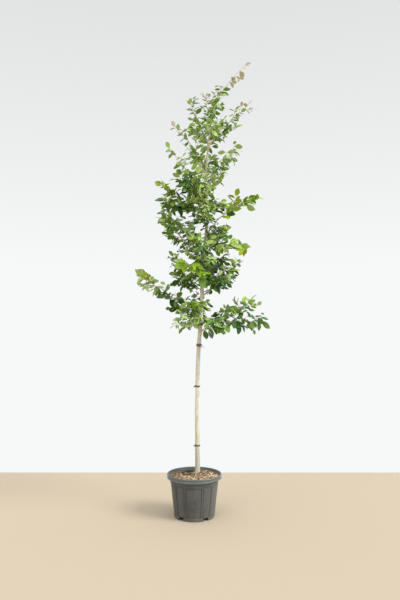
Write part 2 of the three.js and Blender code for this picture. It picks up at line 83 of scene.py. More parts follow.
def added(operator, **settings):
    # The object that an operator adds, with nothing else selected
    bpy.ops.object.select_all(action="DESELECT")
    operator(**settings)
    return bpy.context.object


def linked(name, data):
    made = bpy.data.objects.new(name, data)
    scene.collection.objects.link(made)
    return made


def pick(piece):
    # Leaves one piece selected and active
    bpy.ops.object.select_all(action="DESELECT")
    piece.select_set(True)
    bpy.context.view_layer.objects.active = piece


def toMode(mode):
    bpy.ops.object.mode_set(mode=mode)


# The camera stands level. Its shift sets the height and side of its frame.
viewpoint = {
    "place": (-0.019, -4.81, 1.5725),
    "lens": {"lens": 35, "sensor_width": 36, "shift_x": 0.0133, "shift_y": 0.0417, "clip_end": 200},
}

scene.camera = added(bpy.ops.object.camera_add, location=viewpoint["place"], rotation=(radians(90), 0, 0))
assign(scene.camera.data, **viewpoint["lens"])
print("camera placed")


# Shader maths: a Signal wraps one socket, so an expression on signals adds its Math nodes
class Signal:
    def __init__(self, finish, socket):
        self.finish = finish
        self.socket = socket

    def math(self, operation, *values):
        return self.finish.node("ShaderNodeMath", dict(enumerate(values)), operation=operation)

    def __add__(self, other):
        return self.math("ADD", self, other)

    def __sub__(self, other):
        return self.math("SUBTRACT", self, other)

    def __rsub__(self, other):
        return self.math("SUBTRACT", other, self)

    def __mul__(self, other):
        return self.math("MULTIPLY", self, other)

    def between(self, low, high):
        # 0 below low, 1 above high
        return self.finish.node("ShaderNodeMapRange", {"Value": self, "From Min": low, "From Max": high})


# One shader, of a material or of the world. Its sockets take numbers, colours or signals.
class Finish:
    def __init__(self, name, world=None, **sockets):
        self.material = world or bpy.data.materials.new(name)
        self.material.use_nodes = True
        self.tree = self.material.node_tree
        self.shader = self.tree.nodes["Background" if world else "Principled BSDF"]
        self.set(**sockets)

    def fill(self, socket, value):
        if isinstance(value, Signal):
            self.tree.links.new(value.socket, socket)
        else:
            socket.default_value = (*value, 1) if socket.type == "RGBA" else value

    def node(self, kind, inputs, output=0, **settings):
        made = self.tree.nodes.new(kind)
        assign(made, **settings)
        for name, value in inputs.items():
            self.fill(made.inputs[name], value)
        return Signal(self, made.outputs[output])

    def set(self, **sockets):
        for name, value in sockets.items():
            self.fill(self.shader.inputs[name.replace("_", " ")], value)
        return self

    def places(self, stretch=(1, 1, 1)):
        # The place on the object, each direction stretched
        coordinates = self.node("ShaderNodeTexCoord", {}, 3)
        return self.node("ShaderNodeMapping", {"Vector": coordinates, "Scale": stretch})

    def cloud(self, scale, detail=3, stretch=(1, 1, 1), rough=0.55):
        inputs = {"Vector": self.places(stretch), "Scale": scale, "Detail": detail, "Roughness": rough}
        return self.node("ShaderNodeTexNoise", inputs)

    def crumbs(self, scale, stretch=(1, 1, 1)):
        return self.node("ShaderNodeTexVoronoi", {"Vector": self.places(stretch), "Scale": scale})

    def axis(self, index):
        # The place along X, Y or Z
        return self.node("ShaderNodeSeparateXYZ", {"Vector": self.places()}, index)

    def ramp(self, signal, stops):
        made = self.node("ShaderNodeValToRGB", {"Fac": signal})
        elements = made.socket.node.color_ramp.elements
        while len(elements) < len(stops):
            elements.new(0.5)
        for element, (place, colour) in zip(elements, stops):
            assign(element, position=place, color=(*colour, 1))
        return made

    def blend(self, mask, low, high):
        # Sockets of a colour mix: factor 0, colours 6 and 7, result 2
        return self.node("ShaderNodeMix", {0: mask, 6: low, 7: high}, 2, data_type="RGBA")

    def layered(self, base, *layers):
        # Colours laid over a base, each as strong as its mask
        for mask, colour in layers:
            base = self.blend(mask, base, colour)
        return base

    def relief(self, height, depth, strength=1):
        inputs = {"Height": height, "Distance": depth, "Strength": strength}
        return self.set(Normal=self.node("ShaderNodeBump", inputs))


def grainyFinish(name, roughness, scale, tones, depth, stretch=(1, 1, 1), paleFrom=0.65):
    # Two tones in a fine grain that stands out a little
    finish = Finish(name, Roughness=roughness)
    grain = finish.cloud(scale, stretch=stretch)
    finish.set(Base_Color=finish.ramp(grain, list(zip((0.35, paleFrom), tones))))
    return finish.relief(grain, depth)


def tonesOf(colour, *shares):
    return [tuple(part * share for part in colour) for share in shares]


# Gives a piece its finishes and smooth shading, hangs it from the root and hides the nodes it stands for
def finishPiece(piece, slot, nodes, smooth, *finishes):
    pick(piece)
    piece.data.materials.clear()
    for finish in finishes:
        piece.data.materials.append(finish.material)
    if smooth:
        bpy.ops.object.shade_smooth_by_angle(angle=radians(smooth))
    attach(piece, "root")
    if nodes:
        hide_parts(*nodes)
    print("piece", piece.name, len(piece.data.polygons), "faces")


# A modelled piece as points, faces and slots, to be placed many times
def takeShape(piece):
    points = np.array([vertex.co for vertex in piece.data.vertices])
    faces = [tuple(face.vertices) for face in piece.data.polygons]
    slots = [face.material_index for face in piece.data.polygons]
    bpy.data.objects.remove(piece)
    return points, faces, slots


# Shapes joined as one piece, each with its turn and scale, its place and its first slot
def joinShapes(name, placed):
    points, faces, slots = [], [], []
    start = 0
    for (shapePoints, shapeFaces, shapeSlots), turn, place, firstSlot in placed:
        points.append(shapePoints @ turn.T + place)
        faces.extend(tuple(start + i for i in face) for face in shapeFaces)
        slots.extend(firstSlot + slot for slot in shapeSlots)
        start += len(shapePoints)
    mesh = bpy.data.meshes.new(name)
    mesh.from_pydata(np.vstack(points).tolist(), [], faces)
    mesh.polygons.foreach_set("material_index", slots)
    return linked(name, mesh)


def openEdit(piece, kind):
    pick(piece)
    toMode("EDIT")
    bpy.ops.mesh.select_mode(type=kind)
    bpy.ops.mesh.select_all(action="DESELECT")


def selectFaces(piece, wanted, slot=None):
    # Selects faces, and may give them another material
    toMode("OBJECT")
    for face in piece.data.polygons:
        face.select = wanted(face)
        if face.select and slot is not None:
            face.material_index = slot
    toMode("EDIT")


def closeUp(piece):
    # Merges what meets and turns all faces outward
    bpy.ops.mesh.select_all(action="SELECT")
    bpy.ops.mesh.remove_doubles(threshold=1e-6)
    bpy.ops.mesh.normals_make_consistent(inside=False)
    toMode("OBJECT")
    return piece


def modify(piece, kind, **settings):
    pick(piece)
    modifier = piece.modifiers.new(kind, kind)
    assign(modifier, **settings)
    bpy.ops.object.modifier_apply(modifier=modifier.name)


# Turned work: a disc whose edge is extruded and resized from ring to ring
def turnProfile(name, profile, sides, startAngle=0):
    radius, height = profile[0]
    piece = added(bpy.ops.mesh.primitive_circle_add, vertices=sides, radius=radius, fill_type="TRIFAN",
                  location=(0, 0, height), rotation=(0, 0, radians(startAngle)))
    piece.name = piece.data.name = name
    bpy.ops.object.transform_apply()
    openEdit(piece, "EDGE")
    bpy.ops.mesh.select_non_manifold()
    for nextRadius, nextHeight in profile[1:]:
        rise, grow = nextHeight - height, nextRadius / radius
        bpy.ops.mesh.extrude_region_move(TRANSFORM_OT_translate={"value": (0, 0, rise)})
        bpy.ops.transform.resize(value=(grow, grow, 1), center_override=(0, 0, nextHeight))
        radius, height = nextRadius, nextHeight
    bpy.ops.mesh.merge(type="CENTER")
    return closeUp(piece)


# A round edge of a profile, between two angles in degrees
def arcPoints(centre, radius, first, last, count):
    angles = [radians(lerp(first, last, i / (count - 1))) for i in range(count)]
    return [(centre[0] + radius * cos(a), centre[1] + radius * sin(a)) for a in angles]


# The pot
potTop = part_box("pot")[1]
pot = {
    "sides": 360,
    "height": potTop.z, "rimRadius": potTop.x,
    "rimDepth": 0.036, "rimRoll": 0.008, "rimFootRoll": 0.0048,
    "band": {"inset": 0.0035, "foot": 0.0125, "top": 0.006},
    "footRadius": 0.166, "footRoll": 0.005, "floor": 0.008,
    "shoulderRadius": 0.2, "wall": 0.006,
    "neck": {"inset": 0.0005, "fall": 0.004, "flare": 0.003},
    "lip": 0.0125, "lipRoll": 0.0035,
    "ledge": 0.011, "ledgeWidth": 0.001,
    "panelSets": 5, "panelTurn": -2.3,
    "widePanel": (41, 0.273), "narrowPanel": (25, 0.28),
    "panelFoot": 0.026, "panelDepth": 0.003,
    "groove": {"wide": 0.006, "turn": 2, "deep": 0.0022, "edge": 0.0004},
    "slotSize": (0.05, 0.09, 0.052),
    "softEdge": 0.0007,
}
rimFoot = pot["height"] - pot["rimDepth"]


def makePotFinishes():
    finish = Finish("pot_plastic")
    mottle = finish.cloud(11, detail=4, stretch=(1, 1, 0.5))
    body = finish.ramp(mottle, [(0.3, (0.045, 0.049, 0.046)), (0.7, (0.073, 0.079, 0.073))])
    # Rim zone: lower roughness, and a lighter blue-grey base colour that is a painted highlight on the rim
    onRim = finish.axis(2).between(0.312, 0.317)
    speckle = finish.cloud(120, rough=0.7).between(0.5, 0.68)
    streaks = finish.cloud(24, stretch=(1, 1, 0.12)).between(0.54, 0.8)
    lowDust = 1 - finish.axis(2).between(0.01, 0.11)
    # Painted light: the wall turns lighter and bluer towards its right side, as if lit from the right
    paintedLightRight = finish.axis(0).between(0, 0.17)
    finish.set(Roughness=finish.cloud(40).between(0.1, 1) * 0.3 + 0.4 - onRim * 0.2)
    finish.set(Base_Color=finish.layered(
        body,
        # painted highlight on the rim
        (onRim, (0.095, 0.112, 0.118)),
        (speckle * 0.4, (0.21, 0.215, 0.19)),
        # painted light on the right side of the wall
        (paintedLightRight * 0.4, (0.17, 0.18, 0.18)),
        (streaks * 0.2 + lowDust * 0.16, (0.24, 0.22, 0.17)),
    ))
    finish.relief(finish.cloud(900, detail=2) * 0.3 + mottle, 0.0012, strength=0.4)
    # The second finish is near black: painted shade in the grooves and slots
    return (finish, Finish("pot_grooves_painted_shade", Base_Color=(0.014, 0.016, 0.014), Roughness=0.8),
            # The third finish is pale bluish grey: painted light on the shaded inner side of the lip
            Finish("pot_inside_painted_light", Base_Color=(0.19, 0.22, 0.23), Roughness=0.5))


def wallAt(z):
    # The wall's outer radius at a height, below the rim
    return lerp(pot["footRadius"], pot["shoulderRadius"], z / rimFoot)


def potProfile():
    # From under the foot up the outside, over the rim and down to the floor
    foot, shoulder, wall, roll = pot["footRadius"], pot["shoulderRadius"], pot["wall"], pot["rimRoll"]
    rim, height, heel, lipRoll = pot["rimRadius"], pot["height"], pot["footRoll"], pot["lipRoll"]
    band, neck, wide, footRoll = pot["band"], pot["neck"], pot["groove"]["wide"], pot["rimFootRoll"]
    bandRadius, innerRim = rim - band["inset"], rim - pot["lip"]
    tops = [pot["widePanel"][1], pot["narrowPanel"][1]]
    heights = [pot["panelFoot"], pot["panelFoot"] + wide, *tops, *[top - wide for top in tops]]
    return [
        (foot - heel, 0),
        *arcPoints((foot - heel, heel), heel, -60, 0, 4),
        *[(wallAt(z), z) for z in sorted(heights)],
        (wallAt(rimFoot) - neck["inset"], rimFoot - neck["fall"]),
        (wallAt(rimFoot) + neck["flare"], rimFoot),
        *arcPoints((rim - footRoll, rimFoot + footRoll), footRoll, -90, 25, 7),
        (bandRadius, rimFoot + band["foot"]),
        (bandRadius, height - roll - band["top"]),
        *arcPoints((rim - roll, height - roll), roll, -15, 90, 9),
        *arcPoints((innerRim + lipRoll, height - lipRoll), lipRoll, 90, 180, 5),
        (innerRim - neck["inset"], rimFoot + pot["ledge"]),
        (shoulder + pot["ledgeWidth"], rimFoot + pot["ledge"] / 2),
        (shoulder - wall, rimFoot - neck["flare"]),
        (foot - wall, pot["floor"]),
        ((foot - wall) / 2, pot["floor"]),
    ]


def outwardness(face):
    # 1 where a face looks away from the pot's axis, -1 towards it
    return face.normal.xy.dot(face.center.xy.normalized())


def sinkPanel(piece, middle, angle, top):
    # A sunk panel in the wall, with a groove just inside its edge
    groove, edge = pot["groove"], pot["groove"]["edge"]

    def inPanel(face, margin=0, rise=0):
        turn = degrees(atan2(face.center.x, -face.center.y))  # from the front towards the right
        away = abs((turn - middle + 180) % 360 - 180)
        level = pot["panelFoot"] + rise < face.center.z < top - rise
        return level and away < angle / 2 - margin and outwardness(face) > 0.8

    def inGroove(face):
        return inPanel(face) and not inPanel(face, groove["turn"], groove["wide"])

    selectFaces(piece, inPanel)
    bpy.ops.mesh.inset(thickness=edge, depth=-pot["panelDepth"])
    # The groove faces take the near-black second finish: painted shade in the groove
    selectFaces(piece, inGroove, slot=1)
    bpy.ops.mesh.inset(thickness=edge, depth=-groove["deep"])


def makePot():
    turn, pitch = pot["panelTurn"], 360 / pot["panelSets"]
    piece = turnProfile("pot_body", potProfile(), pot["sides"], startAngle=turn + 180 / pot["sides"])
    openEdit(piece, "FACE")
    for panel, offset in ((pot["widePanel"], 0), (pot["narrowPanel"], 0.5)):
        for i in range(pot["panelSets"]):
            sinkPanel(piece, turn + (i + offset) * pitch, *panel)
    toMode("OBJECT")
    # Faces on the inner side of the lip take the pale third finish: painted light, far lighter than the
    # plastic
    for face in piece.data.polygons:
        if outwardness(face) < -0.8 and face.center.z > rimFoot:
            face.material_index = 2  # the inner side of the lip

    # Drain slots at the foot, under the narrow panels
    for i in range(pot["panelSets"]):
        side = radians(turn + (i + 0.5) * pitch)
        place = (pot["footRadius"] * sin(side), -pot["footRadius"] * cos(side), 0)
        cutter = added(bpy.ops.mesh.primitive_cube_add, size=1, location=place, rotation=(0, 0, side),
                       scale=pot["slotSize"])
        # The slot's cut faces take the near-black second finish: painted shade inside the slot
        for face in cutter.data.polygons:
            face.material_index = 1
        modify(piece, "BOOLEAN", operation="DIFFERENCE", solver="EXACT", object=cutter)
        bpy.data.objects.remove(cutter)
    modify(piece, "BEVEL", width=pot["softEdge"], segments=2, limit_method="ANGLE", angle_limit=radians(40))
    finishPiece(piece, "pot", ["pot"], 32, *makePotFinishes())


# The bark compost, level round the stem and lower at the wall
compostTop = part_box("compost")[1].z
compost = {
    "sides": 120, "rings": 22,
    "foot": 0.03, "wallGap": 0.0006,
    "ledgeRise": (0.009, 0.0145), "ledgeOut": 0.0004,
    "edge": pot["height"] - 0.028,
    "edgeRadius": pot["rimRadius"] - pot["lip"] - 0.0011,
    "flatRadius": 0.095,
    "bump": 0.004, "bumpScale": 28,
    "mound": 0.02, "moundWidth": 0.045,
    "hollow": 0.009, "hollowWidth": 0.08, "hollowPlace": (-0.035, 0.1), "hollowStretch": 0.6,
    "backFall": 0.024, "seed": 11,
}

# The stem: height, place and radius of each bend, the swelling at its foot and its bark's relief
stem = {
    "route": [
        (0.24, 0.025, 0.042, 0.0195), (0.42, 0.026, 0.041, 0.0188), (0.955, 0.024, 0.038, 0.018),
        (1.367, 0.035, 0.03, 0.0168), (1.614, 0.055, 0.022, 0.0154), (1.853, 0.064, 0.012, 0.0138),
        (2.026, 0.065, 0.008, 0.0126), (2.191, 0.08, 0.004, 0.0116), (2.438, 0.106, 0, 0.0104),
        (2.685, 0.099, -0.004, 0.0094), (2.85, 0.097, -0.006, 0.0086), (3.015, 0.112, -0.006, 0.0072),
        (3.24, 0.132, -0.004, 0.0046),
    ],
    "foot": compostTop - 0.012,
    "top": 3.24,
    "ringStep": 0.006, "bevelSteps": 12,
    "flareWidth": 0.006, "flareHeight": 0.042,
    "buttresses": 5, "buttressDepth": 0.0025,
    "collarHeight": 0.02, "collarSwell": 0.0028,
    "grainScale": (60, 60, 22), "grainDepth": 0.0007,
}


def stemAt(height):
    # The stem's centre and radius at a height, on smooth bends between its places
    route, last = stem["route"], len(stem["route"]) - 1
    above = next((i for i, row in enumerate(route) if row[0] >= height and i > 0), last)
    before, low, high, after = (np.array(route[min(max(above + i, 0), last)]) for i in (-2, -1, 0, 1))
    span = high[0] - low[0]
    t = (height - low[0]) / span
    slopeLow = (high - before)[1:3] / (high[0] - before[0]) * span
    slopeHigh = (after - low)[1:3] / (after[0] - low[0]) * span
    place = ((2 * t**3 - 3 * t**2 + 1) * low[1:3] + (t**3 - 2 * t**2 + t) * slopeLow
             + (3 * t**2 - 2 * t**3) * high[1:3] + (t**3 - t**2) * slopeHigh)
    return np.array([*place, height]), lerp(low[3], high[3], t)


def fromHollow(x, y):
    # The distance from the middle of the hollow, which is longer from front to back
    middle = compost["hollowPlace"]
    return hypot(x - middle[0], (y - middle[1]) * compost["hollowStretch"])


def compostHeight(x, y):
    # The surface falls towards the wall, most at the back left, and sinks behind the stem's mound
    distance = hypot(x, y)
    share = max(0, (distance - compost["flatRadius"]) / (compost["edgeRadius"] - compost["flatRadius"]))
    level = lerp(compostTop, compost["edge"], min(1, share) ** 1.6) - 0.003
    level -= compost["backFall"] * max(0, (y - x) / 0.3) * min(1, distance / 0.2)
    away = fromHollow(x, y) / compost["hollowWidth"]
    _, footX, footY, _ = stem["route"][0]
    beside = hypot(x - footX, y - footY) / compost["moundWidth"]
    return level - compost["hollow"] * exp(-away**2) + compost["mound"] * exp(-beside**2)


def makeSoil():
    finish = Finish("compost_soil", Roughness=0.95)
    crumb, tone = finish.crumbs(160), finish.cloud(70, detail=4)
    shades = [(0.3, (0.045, 0.028, 0.016)), (0.5, (0.1, 0.063, 0.038)), (0.75, (0.2, 0.135, 0.085))]
    crumbed = finish.blend(crumb.between(0.2, 0.6) * 0.5, finish.ramp(tone, shades), (0.28, 0.19, 0.12))
    stretch = (1, compost["hollowStretch"], 0)
    middle = np.multiply((*compost["hollowPlace"], 0), stretch)
    flat = finish.node("ShaderNodeVectorMath", {0: finish.places(), 1: stretch}, operation="MULTIPLY")
    away = finish.node("ShaderNodeVectorMath", {0: flat, 1: middle}, 1, operation="DISTANCE")
    # Soil turns nearly black towards the hollow behind the stem: partly dark mossy soil, partly painted shade
    # in the hollow
    finish.set(Base_Color=finish.blend(away.between(0.055, 0.1), (0.028, 0.026, 0.012), crumbed))
    return finish.relief(crumb + tone, 0.004)


def makeCompost():
    rings, edgeRadius, edge = compost["rings"], compost["edgeRadius"], compost["edge"]
    neck = rimFoot - pot["neck"]["flare"]
    inset = pot["wall"] + compost["wallGap"]
    ledge, rise = compost["ledgeRise"]
    profile = [(wallAt(z) - inset, z) for z in (compost["foot"], neck)]
    profile.append((pot["shoulderRadius"] + compost["ledgeOut"], neck + ledge))
    profile += [(edgeRadius, neck + rise), (edgeRadius, edge)]
    profile += [(edgeRadius * (1 - i / rings), compostTop) for i in range(1, rings)]
    piece = turnProfile("compost_bed", profile, compost["sides"])
    for vertex in piece.data.vertices:
        place = vertex.co
        if place.z >= edge - 1e-4 and place.xy.length < edgeRadius - 0.001:
            lump = noise.noise(place * compost["bumpScale"]) + 0.6 * noise.noise(place * 90)
            place.z = compostHeight(place.x, place.y) + compost["bump"] * lump
    finishPiece(piece, "compost", ["compost"], 50, makeSoil())


# Flakes of bark on the compost, and moss round the stem's foot
litter = {
    "chips": 3000, "chipLength": (0.009, 0.026),
    "chipForms": [(0.1, 0.5), (-0.12, 0.7), (0.05, 0.9), (0.2, 0.35)],
    "tones": {"tan": (0.34, 0.215, 0.105), "orange": (0.25, 0.125, 0.055), "brown": (0.12, 0.068, 0.04),
              "mauve": (0.15, 0.1, 0.085), "pale": (0.6, 0.47, 0.3)},
    "redMix": ("brown", "orange", "mauve", "tan", "pale"),
    "yellowMix": ("tan", "pale", "pale", "brown", "orange"),
    "clearOfStem": 0.03,
    "moss": 190, "mossSize": (0.003, 0.0075),
}


def modelChip(lean, taper):
    # One flake of bark: a flat block, narrower at one end, its edges broken
    chip = added(bpy.ops.mesh.primitive_cube_add, size=1, scale=(1, 0.5, 0.2))
    bpy.ops.object.transform_apply()
    openEdit(chip, "FACE")
    selectFaces(chip, lambda face: face.normal.x > 0.9)
    bpy.ops.transform.resize(value=(1, taper, 0.7))
    bpy.ops.transform.translate(value=(0, lean, 0.04))
    selectFaces(chip, lambda face: face.normal.x < -0.9)
    bpy.ops.mesh.extrude_region_move(TRANSFORM_OT_translate={"value": (-0.25, -lean * 0.5, -0.03)})
    bpy.ops.transform.resize(value=(1, 0.55, 0.6))
    selectFaces(chip, lambda face: face.normal.z > 0.6)
    bpy.ops.mesh.inset(thickness=0.06, depth=0.03)
    toMode("OBJECT")
    return takeShape(chip)


def makeChips():
    dice = random.Random(compost["seed"])
    shapes = [modelChip(lean, taper) for lean, taper in litter["chipForms"]]
    placed = {name: [] for name in litter["tones"]}
    trunkFoot = stemAt(compostTop)[0]
    for _ in range(litter["chips"]):
        turn = dice.uniform(0, 2 * pi)
        distance = sqrt(dice.random()) * (compost["edgeRadius"] - 0.012)
        x, y = distance * cos(turn), distance * sin(turn)
        if hypot(x - trunkFoot[0], y - trunkFoot[1]) < litter["clearOfStem"]:
            continue
        if fromHollow(x, y) < compost["hollowWidth"] and dice.random() < 0.9:
            continue
        length = lerp(*litter["chipLength"], dice.random() ** 1.9)
        spin, tip, roll = dice.uniform(0, 2 * pi), dice.gauss(0, 0.28), dice.gauss(0, 0.3)
        ahead = np.array([cos(spin) * cos(tip), sin(spin) * cos(tip), sin(tip)])
        level = unit(np.array([-sin(spin), cos(spin), roll]))
        across = unit(np.cross(np.cross(ahead, level), ahead))
        matrix = np.column_stack([ahead, across, np.cross(ahead, across)]) * length
        matrix[:, 1] *= dice.uniform(0.7, 1.25)
        place = np.array([x, y, compostHeight(x, y) + 0.002 + dice.random() * 0.006])
        # Redder flakes lie at the back left, yellower ones at the front right
        side = 0.5 + (x - y) / 0.4 + dice.gauss(0, 0.25)
        tone = dice.choice(litter["yellowMix" if side >= 0.55 else "redMix"])
        placed[tone].append((dice.choice(shapes), matrix, place, 0))
    for name, tone in litter["tones"].items():
        finish = grainyFinish("chips_" + name, 0.85, 220, tonesOf(tone, 0.6, 1.25), 0.001, (1, 0.3, 1))
        finishPiece(joinShapes("chips_" + name, placed[name]), "compost", [], 0, finish)


def makeMoss():
    cushion = added(bpy.ops.mesh.primitive_ico_sphere_add, subdivisions=2, radius=1)
    for vertex in cushion.data.vertices:
        vertex.co *= 1 + 0.3 * noise.noise(vertex.co * 2.3)
    shape = takeShape(cushion)
    dice = random.Random(compost["seed"] + 1)
    foot = stemAt(compostTop)[0]
    placed = []
    for _ in range(litter["moss"]):
        turn, distance = dice.gauss(2.9, 0.8), 0.026 + 0.075 * dice.random()
        x, y = foot[0] + distance * cos(turn), foot[1] + distance * sin(turn)
        size = dice.uniform(*litter["mossSize"])
        place = np.array([x, y, compostHeight(x, y) + 0.001])
        placed.append((shape, np.diag([size, size, size * 0.6]), place, 0))
    finish = grainyFinish("moss", 0.9, 400, [(0.04, 0.06, 0.015), (0.13, 0.16, 0.045)], 0.002)
    finishPiece(joinShapes("moss", placed), "compost", [], 80, finish)


makePot()
makeCompost()
makeChips()
makeMoss()
print("pot and compost made")


# Points of a bend from a start to an end that heads for its knee
def bend(start, knee, end, count=24):
    t = np.linspace(0, 1, count)[:, None]
    return (1 - t) ** 2 * start + 2 * (1 - t) * t * knee + t**2 * end


def stepsOf(line):
    return norm(np.diff(line, axis=0), axis=1)


def lengthOf(line):
    return float(stepsOf(line).sum())


def reachedOn(line):
    # How far along a line each of its points lies
    return np.concatenate([[0], np.cumsum(stepsOf(line))])


def along(line, share):
    # The place and heading at a share of a line's length
    steps, reached = stepsOf(line), reachedOn(line)
    at = share * reached[-1]
    i = min(max(int(np.searchsorted(reached, at)), 1), len(line) - 1)
    part = (at - reached[i - 1]) / steps[i - 1]
    return lerp(line[i - 1], line[i], part), (line[i] - line[i - 1]) / steps[i - 1]


# Round limbs along lines, each (points, radii), as one mesh
def makeLimbs(name, limbs, bevelSteps):
    data = bpy.data.curves.new(name, "CURVE")
    assign(data, dimensions="3D", bevel_depth=1, bevel_resolution=bevelSteps, use_fill_caps=True)
    for points, radii in limbs:
        spline = data.splines.new("POLY")
        spline.points.add(len(points) - 1)
        for point, place, radius in zip(spline.points, points, radii):
            assign(point, co=(*place, 1), radius=radius)
    pick(linked(name, data))
    bpy.ops.object.convert(target="MESH")
    openEdit(bpy.context.object, "VERT")
    return closeUp(bpy.context.object)


# Pale bark, browner at the stem's foot, with a green film above that
def makeBark():
    finish = Finish("bark", Roughness=0.8)
    height = finish.axis(2)
    tone = finish.cloud(14, detail=5, stretch=(1, 1, 0.25))
    shades = [(0.3, (0.44, 0.41, 0.33)), (0.5, (0.64, 0.61, 0.51)), (0.72, (0.79, 0.77, 0.68))]
    patches = finish.cloud(22, detail=2, stretch=(1, 1, 0.5)).between(0.56, 0.72)
    lenticels = finish.crumbs(85, stretch=(1, 1, 2.4))
    greened = height.between(0.57, 0.62) * (1 - height.between(0.66, 0.82))
    film = greened * finish.cloud(30, stretch=(1, 1, 0.4)).between(0.35, 0.6)
    finish.set(Base_Color=finish.layered(
        finish.ramp(tone, shades),
        (patches * 0.45, (0.36, 0.29, 0.2)),
        ((1 - lenticels.between(0.1, 0.2)) * 0.5, (0.2, 0.14, 0.09)),
        (film * 0.65, (0.45, 0.46, 0.2)),
        ((1 - height.between(0.5, 0.62)) * 0.55, (0.4, 0.33, 0.26)),
        (height.between(1.5, 3.1) * 0.45, (0.56, 0.47, 0.26)),
    ))
    return finish.relief(tone + lenticels * 0.35, 0.002, strength=0.6)


bark = makeBark()

# Boughs: name, height, launch above level, bare share, room for its leaves, leaf size, kind, and its tips
# (turn about the stem from the right, reach, rise)
boughTable = [
    ("low_right", 1.515, 30, 0.2, 0.15, 1.1, "shade", (-12, 0.565, 0.07), (10, 0.49, 0.29)),
    ("low_left", 1.573, 18, 0, 0.15, 1.1, "pale", (205, 0.24, 0.06)),
    ("low_front", 1.622, 15, 0, 0.135, 1.05, "shade", (-52, 0.235, -0.03)),
    ("low_back", 1.6, 32, 0.25, 0.16, 1, "shade", (95, 0.43, 0.27)),
    ("long_left", 1.65, 30, 0.12, 0.12, 1, "tipPale", (172, 0.555, 0.395)),
    ("low_bright", 1.7, 35, 0, 0.115, 1, "bright", (228, 0.175, 0.09)),
    ("mid_right", 1.812, 36, 0.15, 0.15, 1, "mixed", (-10, 0.325, 0.295), (20, 0.3, 0.19)),
    ("mid_left", 1.858, 25, 0, 0.13, 0.95, "mixed", (178, 0.25, 0.095), (192, 0.245, 0.16),
     (180, 0.255, 0.335)),
    ("mid_back", 1.905, 42, 0.22, 0.16, 1, "shade", (78, 0.39, 0.28), (40, 0.26, 0.3)),
    ("mid_bright", 1.945, 42, 0.18, 0.15, 1.1, "bright", (236, 0.31, 0.15)),
    ("mid_front", 2, 45, 0.22, 0.155, 1, "mixed", (266, 0.32, 0.23), (245, 0.18, 0.4)),
    ("arched_right", 2.1, 72, 0.2, 0.115, 1.1, "tipYellow", (-18, 0.385, 0.105)),
    ("curved_left", 2.105, 48, 0.25, 0.1, 1, "mixed", (186, 0.35, 0.355), (168, 0.365, 0.455)),
    ("back_left", 2.15, 50, 0.25, 0.155, 1, "shade", (134, 0.385, 0.41)),
    ("back_right", 2.225, 46, 0.25, 0.13, 1, "shade", (62, 0.335, 0.23)),
    ("short_right", 2.265, 35, 0, 0.13, 1, "mixed", (20, 0.225, 0.11)),
    ("upper_right", 2.31, 58, 0.3, 0.14, 0.95, "tipYellow", (6, 0.455, 0.35)),
    ("front_right", 2.34, 50, 0, 0.095, 0.95, "mixed", (275, 0.26, 0.23)),
    ("bright_left", 2.38, 50, 0.22, 0.13, 1, "tipBright", (194, 0.435, 0.345), (168, 0.415, 0.22)),
    ("upper_front", 2.455, 52, 0, 0.14, 0.95, "mixed", (244, 0.3, 0.28)),
    ("upper_back", 2.48, 52, 0, 0.135, 0.95, "mixed", (105, 0.31, 0.32)),
    ("sprig_right", 2.521, 20, 0, 0.08, 0.85, "sunny", (-25, 0.22, 0.045)),
    ("upper_left", 2.565, 46, 0, 0.125, 0.95, "mixed", (202, 0.29, 0.23)),
    ("high_bend", 2.66, 45, 0, 0.095, 0.9, "sunny", (-42, 0.175, 0.17)),
    ("high_right", 2.78, 60, 0.12, 0.11, 0.9, "sunny", (5, 0.3, 0.245)),
    ("high_left", 2.65, 48, 0.2, 0.115, 0.9, "sunny", (188, 0.335, 0.41)),
    ("high_front", 2.725, 56, 0, 0.115, 0.9, "sunny", (238, 0.205, 0.34)),
    ("high_back", 2.73, 56, 0, 0.1, 0.9, "sunny", (82, 0.23, 0.3)),
    ("top_left_arm", 2.79, 74, 0.3, 0.1, 0.8, "tipBronze", (172, 0.29, 0.46)),
    ("top_right_arm", 3.04, 55, 0.2, 0.105, 0.85, "tipBronze", (-8, 0.366, 0.345)),
    ("top_front", 2.95, 66, 0, 0.11, 0.85, "sunny", (282, 0.145, 0.27)),
    ("top_left", 3.05, 70, 0, 0.1, 0.8, "tipBronze", (186, 0.18, 0.395), (195, 0.17, 0.13)),
    ("top_back", 3.02, 66, 0, 0.09, 0.85, "sunny", (70, 0.165, 0.29)),
    ("top_middle", 3.16, 84, 0, 0.09, 0.75, "tipBronze", (170, 0.03, 0.335)),
]

# The leading shoot goes on from the stem's tip and bends over to the right
leader = {
    "name": "leader",
    "route": [
        (0.144, -0.002, 3.3), (0.184, 0.002, 3.402), (0.226, 0.006, 3.493), (0.292, 0.008, 3.58),
        (0.352, 0.006, 3.648), (0.414, 0, 3.706),
    ],
    "bare": 0, "spread": 0.085, "reach": 0.6, "size": 0.68, "thick": 0.0045, "tint": "leader", "seed": 7,
}

